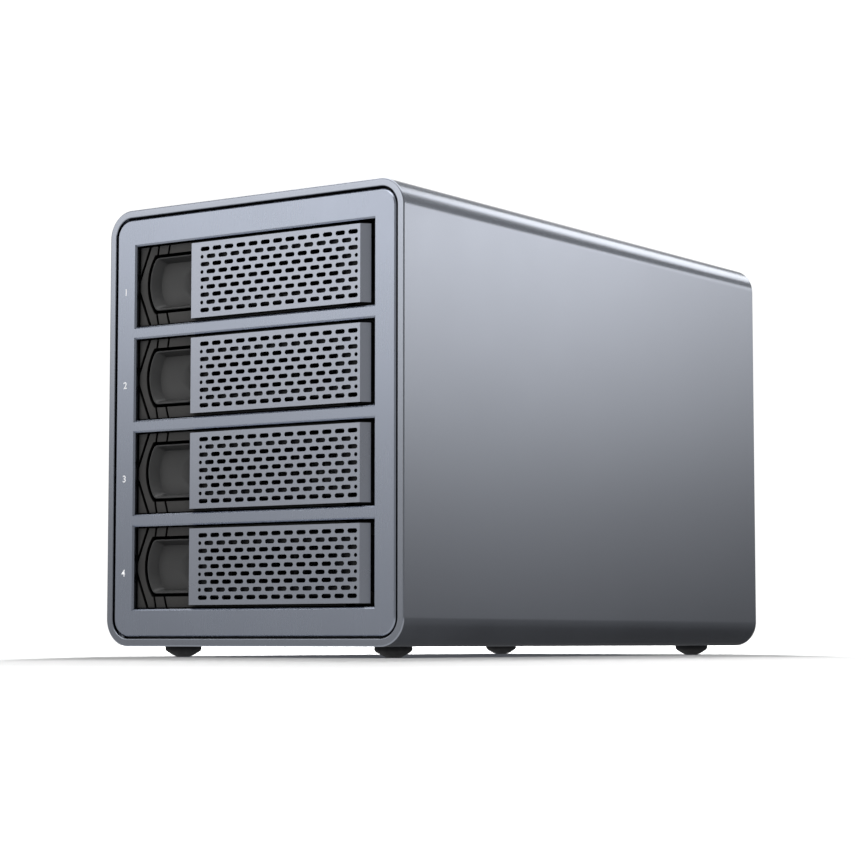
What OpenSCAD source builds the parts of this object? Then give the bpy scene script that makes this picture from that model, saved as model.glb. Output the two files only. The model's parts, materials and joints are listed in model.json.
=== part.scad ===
// Four-bay network storage enclosure.
// Frame: origin on the standing surface under the middle of the case,
// +X to the right seen from the front, +Y to the rear, +Z up. Millimetres.
// Each drive tray slides out along -Y, its lever door swings open about a
// vertical pin at its right end, and its release button presses in along +Y.

/* [Case] */
// Width of the aluminium sleeve
case_w = 133; // [131:0.5:140]
// Height of the aluminium sleeve
case_h = 160; // [159:0.5:170]
// Depth of the aluminium sleeve, front to rear
case_d = 258; // [256:1:290]
// Outer corner radius of the sleeve
case_r = 10; // [9:0.5:12]
// Wall thickness of the sleeve
wall = 2.75; // [2.5:0.05:3]
// Width of the shadow gap round the front panel
panel_gap = 0.85; // [0.5:0.05:1.2]
// Thickness of the front panel
panel_t = 3; // [2.5:0.25:3.5]

/* [Bays] */
// Vertical distance from one bay to the next
bay_pitch = 34.36; // [34:0.02:34.8]
// Height of the middle of the four bays above the bottom of the sleeve
bay_mid = 79.93; // [79:0.1:81]
// Width of each tray window in the front panel
window_w = 107.8; // [107.6:0.1:108.2]
// Height of each tray window in the front panel
window_h = 29.93; // [29.8:0.01:30.2]
// Width of the bevel round each window
window_bevel = 0.6; // [0.3:0.1:0.8]

/* [Tray] */
// Width of the moulded tray face
face_w = 106.6; // [106:0.1:106.8]
// Height of the moulded tray face
face_h = 28.8; // [28.4:0.1:29]
// Depth of the tray face behind the front of the case
face_recess = 2; // [1.9:0.1:2.2]
// Depth of the thumb dish in the release button
dish_d = 3; // [2:0.25:3.5]

/* [Door] */
// Height of the perforated lever door
door_h = 27.3; // [26.5:0.1:27.4]
// Thickness of the perforated lever door
door_t = 1.5; // [1.2:0.1:1.6]
// Slot spacing across the door
slot_px = 5.51; // [5.4:0.01:5.6]
// Row spacing up the door
slot_pz = 2.77; // [2.7:0.01:2.8]
// Length of each slot
slot_l = 4.1; // [3.6:0.1:4.4]
// Height of each slot
slot_w = 1.6; // [1.2:0.1:1.8]

/* [Feet] */
// Height of the rubber feet
foot_h = 3.8; // [3.5:0.1:5]
// Radius of the rubber feet
foot_r = 6.65; // [6:0.05:7]

/* [Fan] */
// Side of the square fan frame
fan_size = 92; // [91:1:92]
// Height of the fan's axle above the standing surface
fan_z = 108; // [107:0.5:109]

/* [Hidden] */
$fn = 64;

// Front and rear planes of the sleeve
yf = -case_d / 2;
yr = case_d / 2;
// Bottom and top of the sleeve, and the middle height
z0 = foot_h;
z1 = foot_h + case_h;
zm = (z0 + z1) / 2;
// Inner faces of the sleeve
xi = case_w / 2 - wall;
zi0 = z0 + wall;
zi1 = z1 - wall;
// Height of the middle of bay i, 1 at the top
function bay_z(i) = z0 + bay_mid + (2.5 - i) * bay_pitch;
// Front panel outline
pan_w = 2 * (xi - panel_gap);
pan_h = case_h - 2 * wall - 2 * panel_gap;
pan_r = case_r - wall - panel_gap;
// Planes behind the front, from front to back
y_panel = yf + panel_t;      // back of the front panel
y_bezel = y_panel + 4;       // back of the bezel frame
y_face = yf + face_recess;   // front of the tray faces
y_faceb = y_face + 12;       // back of the tray faces
y_skin = yf + door_t;        // back of the door skins
// Planes at the rear
y_rp0 = yr - 4;              // inner face of the rear panel
y_rp1 = yr - 2.5;            // outer face of the rear panel
// Backplane
y_bp0 = yf + 171;
y_bp1 = y_bp0 + 1.6;
// Cage
cx0 = 54.0;
cx1 = 55.2;
// Screw bosses in the sleeve's corners
boss_x = case_w / 2 - 6.6;
boss_r = 3.2;
boss_z = [z0 + 6.6, z1 - 6.6];
// Lever hinge
hx = 46;
hy = yf + 6.5;
pin_r = 1.0;
pin_run = 0.05;
// Release button, one dish of a large circle cut off above and below
btn_cx = -31.7;
btn_cz = 0.4;
pocket_R = 18.3;
btn_gap = 1.1;
btn_x = -38;
// Feet
foot_x = 47.4;
foot_y = [yf + 20.9, yf + 235.8];
// Heights of the bay digits' lamps, one per bay
function lamp_z(i) = bay_z(i) - 1.8;
lamp_x = -58.6;
// Drive holes in the tray floor
drive_x = 95.25;
drive_y = 44.45;
drive_rear = yf + 163;
// Rear sockets
lan_x = [-49, -31];
usb_x = -12.75;
board_z = 14;
board_hole_x = [-53.2, -9];
inlet_x = 41;
inlet_z = 28;
sw_x = 14.5;
sw_z = 28;
sw_y = yr - 6.5;
sw_tilt = 10;

alu = [0.62, 0.64, 0.67];
black = [0.09, 0.09, 0.10];
steel = [0.72, 0.73, 0.75];
pcb = [0.05, 0.25, 0.14];

// ---------- helpers ----------

// A box given by its low and high limits on each axis
module bx(x, y, z) {
  translate([x[0], y[0], z[0]]) cube([x[1] - x[0], y[1] - y[0], z[1] - z[0]]);
}
// A flat shape in X and Z, spanning y from a to b
module ext_y(a, b) {
  translate([0, b, 0]) rotate([90, 0, 0]) linear_extrude(height = b - a) children();
}
// A flat shape in X and Y, spanning z from a to b
module ext_z(a, b) {
  translate([0, 0, a]) linear_extrude(height = b - a) children();
}
// A flat shape in Y and Z, spanning x from a to b
module ext_x(a, b) {
  translate([a, 0, 0]) rotate([90, 0, 90]) linear_extrude(height = b - a) children();
}
// A cylinder along Y
module cyl_y(r, a, b) {
  translate([0, a, 0]) rotate([-90, 0, 0]) cylinder(r = r, h = b - a);
}
// A rounded rectangle about its centre
module rrect(w, h, r) {
  union() {
    square([w - 2 * r, h], center = true);
    square([w, h - 2 * r], center = true);
    for (sx = [-1, 1], sz = [-1, 1])
      translate([sx * (w / 2 - r), sz * (h / 2 - r)]) circle(r = r);
  }
}
// A slot with round ends, along X
module slot(l, w) {
  union() {
    square([l - w, w], center = true);
    for (s = [-1, 1]) translate([s * (l - w) / 2, 0]) circle(d = w, $fn = 24);
  }
}
// A pan-head screw along +Z from the underside of its head, shank downwards
module screw(head_r, head_h, r, l) {
  union() {
    cylinder(r = head_r, h = head_h, $fn = 32);
    translate([0, 0, -l]) cylinder(r = r, h = l + 0.1, $fn = 32);
  }
}
// A rectangular hole with a bevel at its front edge
module window_cut(w, h, bevel, a, b) {
  union() {
    bx([-w / 2, w / 2], [a - 1, b + 1], [-h / 2, h / 2]);
    intersection() {
      ext_z(-h, h) polygon([
        [-w / 2 - bevel - 1, a - 1], [w / 2 + bevel + 1, a - 1],
        [w / 2, a + bevel], [-w / 2, a + bevel]]);
      ext_x(-w, w) polygon([
        [a - 1, -h / 2 - bevel - 1], [a - 1, h / 2 + bevel + 1],
        [a + bevel, h / 2], [a + bevel, -h / 2]]);
    }
  }
}

// ---------- case ----------

module outer_shell() {
  color(alu) difference() {
    union() {
      translate([0, 0, zm]) ext_y(yf, yr) difference() {
        rrect(case_w, case_h, case_r);
        rrect(case_w - 2 * wall, case_h - 2 * wall, case_r - wall);
      }
      for (s = [-1, 1], z = boss_z)
        translate([s * boss_x, 0, z]) cyl_y(boss_r, y_bezel, y_rp0);
    }
    for (s = [-1, 1], z = boss_z) translate([s * boss_x, 0, z]) {
      cyl_y(1.25, y_bezel - 1, y_bezel + 8);
      cyl_y(1.25, y_rp0 - 8, y_rp0 + 1);
    }
  }
}

module front_panel() {
  color(alu) difference() {
    translate([0, 0, zm]) ext_y(yf, y_panel) rrect(pan_w, pan_h, pan_r);
    for (i = [1 : 4]) translate([0, 0, bay_z(i)])
      window_cut(window_w, window_h, window_bevel, yf, y_panel);
  }
}

module bezel_frame() {
  color(black) difference() {
    translate([0, 0, zm]) ext_y(y_panel, y_bezel)
      rrect(2 * xi - 0.4, case_h - 2 * wall - 0.4, case_r - wall - 0.2);
    for (i = [1 : 4]) translate([0, 0, bay_z(i)])
      bx([-54.2, 54.2], [y_panel - 1, y_bezel + 1], [-15.3, 15.3]);
    // pocket for the lamp board and its windows
    bx([lamp_x - 3.3, lamp_x + 3], [y_bezel - 1.8, y_bezel + 1],
       [lamp_z(4) - 8.2, lamp_z(1) + 8.2]);
    for (i = [1 : 4]) bx([lamp_x - 1.2, lamp_x + 1.2], [y_panel - 1, y_bezel], [lamp_z(i) - 1.8, lamp_z(i) + 1.8]);
    // sunk screws into the sleeve's corner bosses
    for (s = [-1, 1], z = boss_z) translate([s * boss_x, 0, z]) {
      cyl_y(2.4, y_panel - 1, y_panel + 1.8);
      cyl_y(1.4, y_panel, y_bezel + 1);
    }
    // screws from the cage's front tabs
    for (s = [-1, 1], z = [z0 + 15.7, z1 - 15.7])
      translate([s * 58.5, 0, z]) cyl_y(1.5, y_bezel - 2.2, y_bezel + 1);
  }
}

module led_board() {
  color(pcb) union() {
    bx([lamp_x - 3.1, lamp_x + 2.8], [y_bezel - 1.6, y_bezel], [lamp_z(4) - 8, lamp_z(1) + 8]);
    for (i = [1 : 4]) bx([lamp_x - 0.9, lamp_x + 0.9], [y_bezel - 2.4, y_bezel - 1.5], [lamp_z(i) - 1.4, lamp_z(i) + 1.4]);
  }
}

module light_pipes() {
  color([0.95, 0.96, 0.98]) for (i = [1 : 4])
    bx([lamp_x - 1.1, lamp_x + 1.1], [y_panel, y_bezel - 2.5], [lamp_z(i) - 1.7, lamp_z(i) + 1.7]);
}

module foot() {
  rotate_extrude() polygon([
    [0, 0], [1.8, 0], [2.6, 0.14], [3.9, 0.72], [5.2, 1.45], [6.1, 2.05],
    [foot_r - 0.12, 2.5], [foot_r, 2.85], [foot_r, foot_h], [0, foot_h]]);
}
module rubber_feet() {
  color([0.05, 0.05, 0.05]) for (s = [-1, 1], y = foot_y) translate([s * foot_x, y, 0]) foot();
}

// ---------- drive cage ----------

// A side plate; s is -1 on the left and 1 on the right
module cage_side(s) {
  color(steel) mirror([s < 0 ? 1 : 0, 0, 0]) difference() {
    union() {
      bx([cx0, cx1], [y_bezel, y_bp0], [zi0 + 1.2, zi1 - 1.2]);
      bx([cx0, 62], [y_bp0 - 1.2, y_bp0], [z0 + 13.2, z1 - 13.2]);
      for (z = [z0 + 15.7, z1 - 15.7]) bx([cx0, 61.5], [y_bezel, y_bezel + 1.2], [z - 4.5, z + 4.5]);
    }
    for (z = [z0 + 15.7, z1 - 15.7]) translate([58.5, 0, z]) cyl_y(1.5, y_bezel - 1, y_bezel + 2);
    for (z = [z0 + 18, zm, z1 - 18]) translate([58.5, 0, z]) cyl_y(1.5, y_bp0 - 2, y_bp0 + 1);
    for (y = [-100, 20], z = [z0 + 13.5, z1 - 13.5])
      translate([cx0 - 1, y, z]) rotate([0, 90, 0]) cylinder(r = 1.5, h = 4);
    // air slots beside each bay
    for (i = [1 : 4], k = [0 : 3]) translate([0, -78 + k * 28, bay_z(i)])
      ext_x(cx0 - 1, cx1 + 1) slot(20, 5);
  }
}
module cage_left() { cage_side(-1); }
module cage_right() { cage_side(1); }

// A top or bottom plate with turned-over edges; s is 1 at the top
module cage_plate(s) {
  za = s > 0 ? zi1 : zi0;
  color(steel) difference() {
    union() {
      bx([-cx1 - 1.2, cx1 + 1.2], [y_bezel, y_bp0 - 1.2],
         s > 0 ? [za - 1.2, za] : [za, za + 1.2]);
      for (m = [-1, 1]) bx(m > 0 ? [cx1, cx1 + 1.2] : [-cx1 - 1.2, -cx1], [y_bezel + 8, y_bp0 - 10],
         s > 0 ? [za - 13.2, za - 1] : [za + 1, za + 13.2]);
    }
    for (m = [-1, 1], y = [-100, 20])
      translate([m > 0 ? cx1 - 1 : -cx1 - 3, y, s > 0 ? z1 - 13.5 : z0 + 13.5]) rotate([0, 90, 0]) cylinder(r = 1.5, h = 4);
    for (k = [0 : 4]) translate([0, -96 + k * 28, 0]) ext_z(za - 3, za + 3) square([80, 14], center = true);
  }
}
module cage_top() { cage_plate(1); }
module cage_bottom() { cage_plate(-1); }

module cage_screws() {
  color(steel) {
    // side plates to the top and bottom plates
    for (m = [-1, 1], y = [-100, 20], z = [z0 + 13.5, z1 - 13.5])
      translate([m * (cx1 + 1.2), y, z]) rotate([0, m * 90, 0]) screw(2.6, 1.6, 1.5, 2.4);
    // front tabs to the bezel frame
    for (m = [-1, 1], z = [z0 + 15.7, z1 - 15.7])
      translate([m * 58.5, y_bezel + 1.2, z]) rotate([-90, 0, 0]) screw(2.6, 1.6, 1.5, 3.2);
    // backplane to the rear flanges
    for (m = [-1, 1], z = [z0 + 18, zm, z1 - 18])
      translate([m * 58.5, y_bp1, z]) rotate([-90, 0, 0]) screw(2.6, 1.6, 1.5, 2.8);
    // controller board to its standoffs
    for (x = board_hole_x, y = [58, 98])
      translate([x, y, board_z + 1.6]) screw(2.6, 1.6, 1.5, 4);
  }
}

// Guide bars under, between and over the trays
module rails(s) {
  color(black) mirror([s < 0 ? 1 : 0, 0, 0]) {
    for (i = [1 : 3]) bx([50.5, cx0], [-114, y_bp0 - 2], [bay_z(i + 1) + 14.8, bay_z(i) - 14.8]);
    bx([50.5, cx0], [-114, y_bp0 - 2], [bay_z(4) - 18.8, bay_z(4) - 14.8]);
    bx([50.5, cx0], [-114, y_bp0 - 2], [bay_z(1) + 14.8, bay_z(1) + 18.8]);
  }
}
module rails_left() { rails(-1); }
module rails_right() { rails(1); }

// ---------- electronics ----------

module backplane_board() {
  color(pcb) ext_y(y_bp0, y_bp1) difference() {
    translate([0, zm]) square([122, case_h - 26.4], center = true);
    for (i = [1 : 4], m = [-1, 1]) translate([m * 22, bay_z(i) + 5]) rrect(36, 15, 3);
    for (m = [-1, 1], z = [z0 + 18, zm, z1 - 18]) translate([m * 58.5, z]) circle(r = 1.5);
  }
}

module sata_sockets() {
  color(black) for (i = [1 : 4]) translate([-20, 0, bay_z(i) - 8.6]) difference() {
    bx([-21, 21], [drive_rear + 0.4, y_bp0], [-3, 3]);
    bx([-18.5, -7.5], [drive_rear - 1, drive_rear + 4.5], [-1.4, 1.4]);
    bx([-5, 17], [drive_rear - 1, drive_rear + 4.5], [-1.4, 1.4]);
  }
}

module power_connector() {
  color([0.85, 0.85, 0.80]) bx([18, 46], [y_bp1, 52], [22, 32]);
}

module controller_board() {
  color(pcb) difference() {
    union() {
      bx([-60.5, -4], [46, y_rp0 - 1], [board_z, board_z + 1.6]);
      // plug to the backplane, and the memory chips
      bx([-50, -16], [y_bp1, 52], [board_z + 1.5, board_z + 9]);
      for (k = [0 : 3]) bx([-58.5, -54.5], [61.6 + k * 8.4, 68 + k * 8.4], [board_z + 1.5, board_z + 2.8]);
    }
    for (x = board_hole_x, y = [58, 98]) translate([x, y, board_z - 1]) cylinder(r = 1.5, h = 4);
  }
}

module heat_sink() {
  color([0.75, 0.76, 0.78]) union() {
    bx([-51, -19], [62, 94], [board_z + 1.6, board_z + 4.6]);
    for (k = [0 : 8]) bx([-51 + k * 3.85, -49.8 + k * 3.85], [62, 94], [board_z + 4, board_z + 17]);
  }
}

module board_standoffs() {
  color([0.85, 0.7, 0.3]) for (x = board_hole_x, y = [58, 98]) translate([x, y, 0]) difference() {
    translate([0, 0, zi0]) cylinder(r = 2.6, h = board_z - zi0, $fn = 6);
    translate([0, 0, board_z - 2.4]) cylinder(r = 1.5, h = 4);
  }
}

module lan_sockets() {
  color(steel) for (x = lan_x) difference() {
    bx([x - 8, x + 8], [y_rp1 - 21, y_rp1 + 0.8], [board_z + 1.6, board_z + 15.1]);
    bx([x - 5.95, x + 5.95], [y_rp1 - 12.5, y_rp1 + 2], [board_z + 4.2, board_z + 11.4]);
    bx([x - 3, x + 3], [y_rp1 - 12.5, y_rp1 + 2], [board_z + 2.6, board_z + 5]);
  }
}

module usb_sockets() {
  color(steel) difference() {
    bx([usb_x - 7.2, usb_x + 7.2], [y_rp1 - 17, y_rp1 + 0.8], [board_z + 1.6, board_z + 17]);
    for (k = [0, 1]) translate([usb_x, 0, board_z + 5.2 + k * 7.8]) difference() {
      bx([-6.25, 6.25], [y_rp1 - 10, y_rp1 + 2], [-2.55, 2.55]);
      bx([-5.5, 5.5], [y_rp1 - 11, y_rp1 - 0.6], [0, 1.85]);
    }
  }
}

module psu_case() {
  color(steel) difference() {
    bx([2, 60], [52, 98], [16, 56]);
    bx([3, 59], [53, 99], [17, 55]);
    for (k = [0 : 6]) translate([10 + k * 7, 75, 0]) ext_z(54, 57) rotate(90) slot(34, 3);
    bx([17.5, 46.5], [51, 54], [21.5, 32.5]);
  }
}

module ac_inlet() {
  color(black) difference() {
    union() {
      bx([inlet_x - 14, inlet_x + 14], [103, y_rp1 + 0.1], [inlet_z - 10, inlet_z + 10]);
      ext_y(y_rp1, y_rp1 + 1.5) translate([inlet_x, inlet_z]) rrect(32, 25, 2);
    }
    difference() {
      bx([inlet_x - 12.1, inlet_x + 12.1], [110, yr + 1], [inlet_z - 8.2, inlet_z + 8.2]);
      // the two cut corners that key the plug
      for (m = [-1, 1]) translate([inlet_x + m * 12.1, 0, inlet_z + 8.2]) ext_y(109, yr + 2)
        polygon([[-m * 5, 0.1], [m * 0.1, 0.1], [m * 0.1, -5]]);
    }
    for (m = [-1 : 1]) translate([inlet_x + m * 7, 0, inlet_z + (m == 0 ? 2 : -2)])
      bx([-1, 1], [102, 111], [-2, 2]);
  }
}

module inlet_pins() {
  color(steel) for (m = [-1 : 1]) translate([inlet_x + m * 7, 0, inlet_z + (m == 0 ? 2 : -2)])
    bx([-1, 1], [98.5, m == 0 ? 122.8 : 122], [-2, 2]);
}

module switch_housing() {
  color(black) difference() {
    union() {
      bx([sw_x - 6.5, sw_x + 6.5], [107, y_rp1 + 0.1], [sw_z - 10.6, sw_z + 10.6]);
      ext_y(y_rp1, y_rp1 + 1.2) translate([sw_x, sw_z]) rrect(16, 24, 1.5);
    }
    bx([sw_x - 5.3, sw_x + 5.3], [115, yr + 1], [sw_z - 10, sw_z + 10]);
    translate([sw_x - 6.2, sw_y, sw_z]) rotate([0, 90, 0]) cylinder(r = 1.25, h = 12.4);
  }
}

module power_rocker() {
  color([0.14, 0.14, 0.15]) translate([0, sw_y, sw_z]) rotate([-sw_tilt, 0, 0]) union() {
    ext_x(sw_x - 4.9, sw_x + 4.9) polygon([
      [1.5, -9], [4.6, -9], [3.9, -4.5], [3.6, 0], [3.9, 4.5], [4.6, 9], [1.5, 9], [-3, 4], [-3, -4]]);
    translate([sw_x - 6.1, 0, 0]) rotate([0, 90, 0]) cylinder(r = 1.2, h = 12.2);
  }
}

// ---------- rear ----------

module rear_panel() {
  color([0.16, 0.17, 0.18]) ext_y(y_rp0, y_rp1) difference() {
    translate([0, zm]) rrect(2 * xi - 0.4, case_h - 2 * wall - 0.4, case_r - wall - 0.2);
    translate([0, fan_z]) circle(r = 44);
    for (sx = [-1, 1], sz = [-1, 1]) translate([sx * 41.25, fan_z + sz * 41.25]) circle(r = 2.2);
    for (s = [-1, 1], z = boss_z) translate([s * boss_x, z]) circle(r = 1.4);
    for (x = lan_x) translate([x, board_z + 8.35]) square([16.6, 14.1], center = true);
    translate([usb_x, board_z + 9.3]) square([15, 16], center = true);
    translate([inlet_x, inlet_z]) square([28.2, 20.2], center = true);
    translate([sw_x, sw_z]) square([13.2, 21.4], center = true);
    // air slots over the power supply, and the lock slot
    for (k = [0 : 9]) translate([6 + k * 5.6, 49.5]) rotate(90) slot(9, 2.4);
    translate([-50, 44]) slot(7, 3);
  }
}

module panel_screws() {
  color([0.25, 0.25, 0.27]) for (s = [-1, 1], z = boss_z) translate([s * boss_x, 0, z]) {
    translate([0, y_rp1, 0]) rotate([-90, 0, 0]) difference() {
      screw(2.25, 1.7, 1.25, 8);
      translate([0, 0, 0.8]) cylinder(r = 1.1, h = 2, $fn = 6);
    }
    translate([0, y_panel + 1.8, 0]) rotate([90, 0, 0]) difference() {
      screw(2.25, 1.6, 1.25, 9);
      translate([0, 0, 0.8]) cylinder(r = 1.1, h = 2, $fn = 6);
    }
  }
}

module fan_frame() {
  color([0.07, 0.07, 0.08]) translate([0, 0, fan_z]) difference() {
    union() {
      difference() {
        ext_y(y_rp0 - 25, y_rp0) rrect(fan_size, fan_size, 5);
        cyl_y(44.3, y_rp0 - 26, y_rp0 + 1);
        // waist between the two flanges
        for (sx = [-1, 1], sz = [-1, 1]) translate([sx * 41.25, 0, sz * 41.25])
          bx(sx > 0 ? [-6, 8] : [-8, 6], [y_rp0 - 21, y_rp0 - 4], sz > 0 ? [-2, 8] : [-8, 2]);
      }
      cyl_y(19, y_rp0 - 5.5, y_rp0 - 2);
      cyl_y(5, y_rp0 - 17, y_rp0 - 2);
      for (a = [45 : 90 : 315]) rotate([0, a, 0]) bx([15, 46], [y_rp0 - 5, y_rp0 - 2], [-2, 2]);
    }
    cyl_y(1.55, y_rp0 - 18, y_rp0 - 3);
    for (sx = [-1, 1], sz = [-1, 1]) translate([sx * 41.25, 0, sz * 41.25]) cyl_y(2.15, y_rp0 - 26, y_rp0 + 1);
  }
}

module fan_rotor() {
  color([0.10, 0.10, 0.11]) translate([0, 0, fan_z]) union() {
    difference() {
      cyl_y(19, y_rp0 - 21, y_rp0 - 7);
      cyl_y(16.5, y_rp0 - 19, y_rp0 - 6);
    }
    cyl_y(1.5, y_rp0 - 19.5, y_rp0 - 4);
    for (k = [0 : 6]) intersection() {
      difference() {
        cyl_y(43, y_rp0 - 21, y_rp0 - 7);
        cyl_y(18, y_rp0 - 22, y_rp0 - 6);
      }
      rotate([0, k * 360 / 7, 0]) translate([15, y_rp0 - 14, 0]) rotate([38, 0, 0])
        bx([0, 40], [-0.6, 0.6], [-16, 16]);
    }
  }
}

module fan_guard() {
  color(steel) translate([0, 0, fan_z]) difference() {
    ext_y(y_rp1, y_rp1 + 1.4) union() {
      for (r = [8, 15, 22, 29, 36, 43]) difference() {
        circle(r = r + 0.75);
        circle(r = r - 0.75);
      }
      difference() {
        union() {
          for (a = [45, 135]) rotate(a) square([112, 1.5], center = true);
          for (sx = [-1, 1], sz = [-1, 1]) translate([sx * 41.25, sz * 41.25]) circle(r = 3.8);
        }
        circle(r = 7.5);
        for (sx = [-1, 1], sz = [-1, 1]) translate([sx * 41.25, sz * 41.25]) circle(r = 2.15);
      }
    }
  }
}

module fan_screws() {
  color(steel) for (sx = [-1, 1], sz = [-1, 1])
    translate([sx * 41.25, y_rp1 + 1.4, fan_z + sz * 41.25]) rotate([-90, 0, 0]) difference() {
      screw(3.6, 1.0, 2.1, 12);
      translate([0, 0, 0.5]) ext_z(0, 2) union() { square([3.4, 0.7], center = true); square([0.7, 3.4], center = true); }
    }
}

// ---------- trays ----------

// Outline of the button pocket, grown by g
module button_outline(g) {
  intersection() {
    translate([btn_cx, btn_cz]) circle(r = pocket_R + g, $fn = 128);
    translate([-60, btn_cz - 10.9 - g]) square([60 - 26 + min(g, 0), 21.8 + 2 * g]);
  }
}

// A narrow straight groove between two points of the face
module groove(p, q, w) {
  d = [q[0] - p[0], q[1] - p[1]];
  n = [-d[1], d[0]] * (w / 2 / norm(d));
  polygon([p + n, q + n, q - n, p - n]);
}

module tray_face(i) {
  hw = face_w / 2;
  hh = face_h / 2;
  color(black) translate([0, 0, bay_z(i)]) difference() {
    union() {
      difference() {
        bx([-hw, hw], [y_face, y_faceb], [-hh, hh]);
        // air and lever opening behind the door
        bx([-24, 41.5], [y_face - 1, y_faceb + 1], [-11.5, 11.5]);
        // room for the door's end to turn in
        bx([41, hw + 1], [y_face - 1, y_faceb - 1.5], [-hh - 1, hh + 1]);
      }
      // hinge ears
      for (m = [-1, 1]) translate([hx, hy, m > 0 ? 9.6 : -14.2]) union() {
        cylinder(r = 4.2, h = 4.6);
        bx([-4.2, 2], [0, y_faceb - hy - 0.5], [0, 4.6]);
      }
    }
    // air way behind the hinge
    bx([49, hw + 1], [y_faceb - 3, y_faceb + 1], [-8, 8]);
    // pin hole through both ears
    translate([hx, hy, -20]) cylinder(r = pin_r, h = 40);
    // button pocket, with a guide hole in its back wall
    ext_y(y_face - 1, y_face + 10) button_outline(0);
    translate([btn_x, 0, btn_cz]) cyl_y(1.5, y_face + 9, y_faceb + 1);
    // pointed grooves at the left end and short grooves over and under the pocket
    ext_y(y_face - 1, y_face + 1.6) union() {
      for (m = [-1, 1]) {
        groove([-hw - 0.5, m * 1.8], [-48.1, m * (hh + 1.2)], 1.1);
      }
      groove([-44.5, hh + 0.5], [-45.2, 10.8], 0.9);
      groove([-39.3, hh + 0.5], [-40.1, 10.8], 0.9);
      groove([-44.5, -hh - 0.5], [-45.5, -10], 0.9);
      groove([-39.3, -hh - 0.5], [-40.7, -10], 0.9);
    }
  }
}

module tray_frame(i) {
  yb = drive_rear - 1;
  color(black) translate([0, 0, bay_z(i)]) difference() {
    union() {
      bx([-53, 53], [y_faceb, yb], [-14.2, -12.9]);
      for (m = [-1, 1]) bx(m > 0 ? [51.2, 53] : [-53, -51.2], [y_faceb, yb], [-14.2, -2]);
      bx([-53, 53], [y_faceb, y_faceb + 1.8], [-14.2, 13]);
    }
    // front wall opened for air
    bx([-45, 45], [y_faceb - 1, y_faceb + 3], [-10, 10]);
    // floor opened between its cross bars
    for (y = [[y_faceb + 1.8, -75], [-45, -15], [-3, 27]]) bx([-41, 41], y, [-15, -12]);
    // drive screws
    for (m = [-1, 1], k = [0, 1])
      translate([m * drive_x / 2, drive_rear - 41.28 - k * drive_y, -15]) cylinder(r = 1.9, h = 4);
  }
}

module door_skin(i) {
  color(alu) translate([0, 0, bay_z(i)]) difference() {
    ext_z(-door_h / 2, door_h / 2) polygon([
      [-27.4, yf], [48.1, yf], [50.8, yf + 2.7], [49.7, yf + 3.75], [47.45, y_skin], [-27.4, y_skin]]);
    ext_y(yf - 1, y_skin + 1) union() {
      for (r = [-4 : 4]) {
        even = abs(r) % 2 == 0;
        for (k = [0 : (even ? 12 : 11)])
          translate([11.98 + (k - (even ? 6 : 5.5)) * slot_px, r * slot_pz]) slot(slot_l, slot_w);
      }
      for (r = [-3, -1, 1, 3], m = [-1, 1]) translate([11.98 + m * 34.45, r * slot_pz]) circle(d = 1.4, $fn = 24);
    }
  }
}

module lever_arm(i) {
  color(black) translate([0, 0, bay_z(i)]) difference() {
    union() {
      difference() {
        bx([-23, 41.2], [y_skin, hy + 1], [-10.8, 10.8]);
        bx([-20, 37], [y_skin - 1, hy + 2], [-7.8, 7.8]);
      }
      // ribs across the opening
      for (x = [-1, 18]) bx([x - 0.8, x + 0.8], [y_skin + 2, hy + 1], [-8, 8]);
      bx([40, hx], [y_skin, hy + 2], [-9.2, 9.2]);
      translate([hx, hy, -9.2]) cylinder(r = 3.3, h = 18.4);
    }
    translate([hx, hy, -20]) cylinder(r = pin_r + pin_run, h = 40);
  }
}

module hinge_pin(i) {
  color(steel) translate([hx, hy, bay_z(i) - 14]) cylinder(r = pin_r, h = 28);
}

module release_button(i) {
  color([0.2, 0.2, 0.2]) translate([0, 0, bay_z(i)]) difference() {
    union() {
      ext_y(y_face, y_face + 6) button_outline(-btn_gap);
      translate([btn_x, 0, btn_cz]) cyl_y(1.45, y_face + 5, y_faceb - 0.4);
    }
    // thumb dish: a shallow cone cut off by sloping top and bottom walls, open to the right
    intersection() {
      translate([btn_cx, y_face - 0.5, btn_cz]) rotate([-90, 0, 0])
        cylinder(r1 = pocket_R - btn_gap - 0.3 + 0.55 * 0.5, r2 = pocket_R - btn_gap - 0.3 - 0.55 * dish_d, h = dish_d + 0.5, $fn = 128);
      ext_x(-60, 0) polygon([
        [y_face - 0.5, btn_cz + 9.8], [y_face + dish_d, btn_cz + 8.2],
        [y_face + dish_d, btn_cz - 9.0], [y_face - 0.5, btn_cz - 9.7]]);
    }
  }
}

// Coil spring behind the button
function ring(c, t, r, n) = [for (k = [0 : n - 1]) let (a = 360 * k / n)
  c + r * (cos(a) * [cos(t), 0, sin(t)] + sin(a) * [0, 1, 0])];
module coil(R, r, a, b, turns, n = 6, m = 14) {
  steps = turns * m;
  pts = [for (j = [0 : steps]) let (t = 360 * j / m, y = a + (b - a) * j / steps)
    each ring([R * cos(t), y, R * sin(t)], t, r, n)];
  faces = concat(
    [[for (k = [0 : n - 1]) k]],
    [for (j = [0 : steps - 1], k = [0 : n - 1])
      [j * n + k, (j + 1) * n + k, (j + 1) * n + (k + 1) % n, j * n + (k + 1) % n]],
    [[for (k = [n - 1 : -1 : 0]) steps * n + k]]);
  polyhedron(points = pts, faces = faces, convexity = 8);
}
module button_spring(i) {
  color(steel) translate([btn_x, 0, bay_z(i) + btn_cz]) coil(2.6, 0.3, y_face + 6.35, y_face + 9.65, 4);
}

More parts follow.
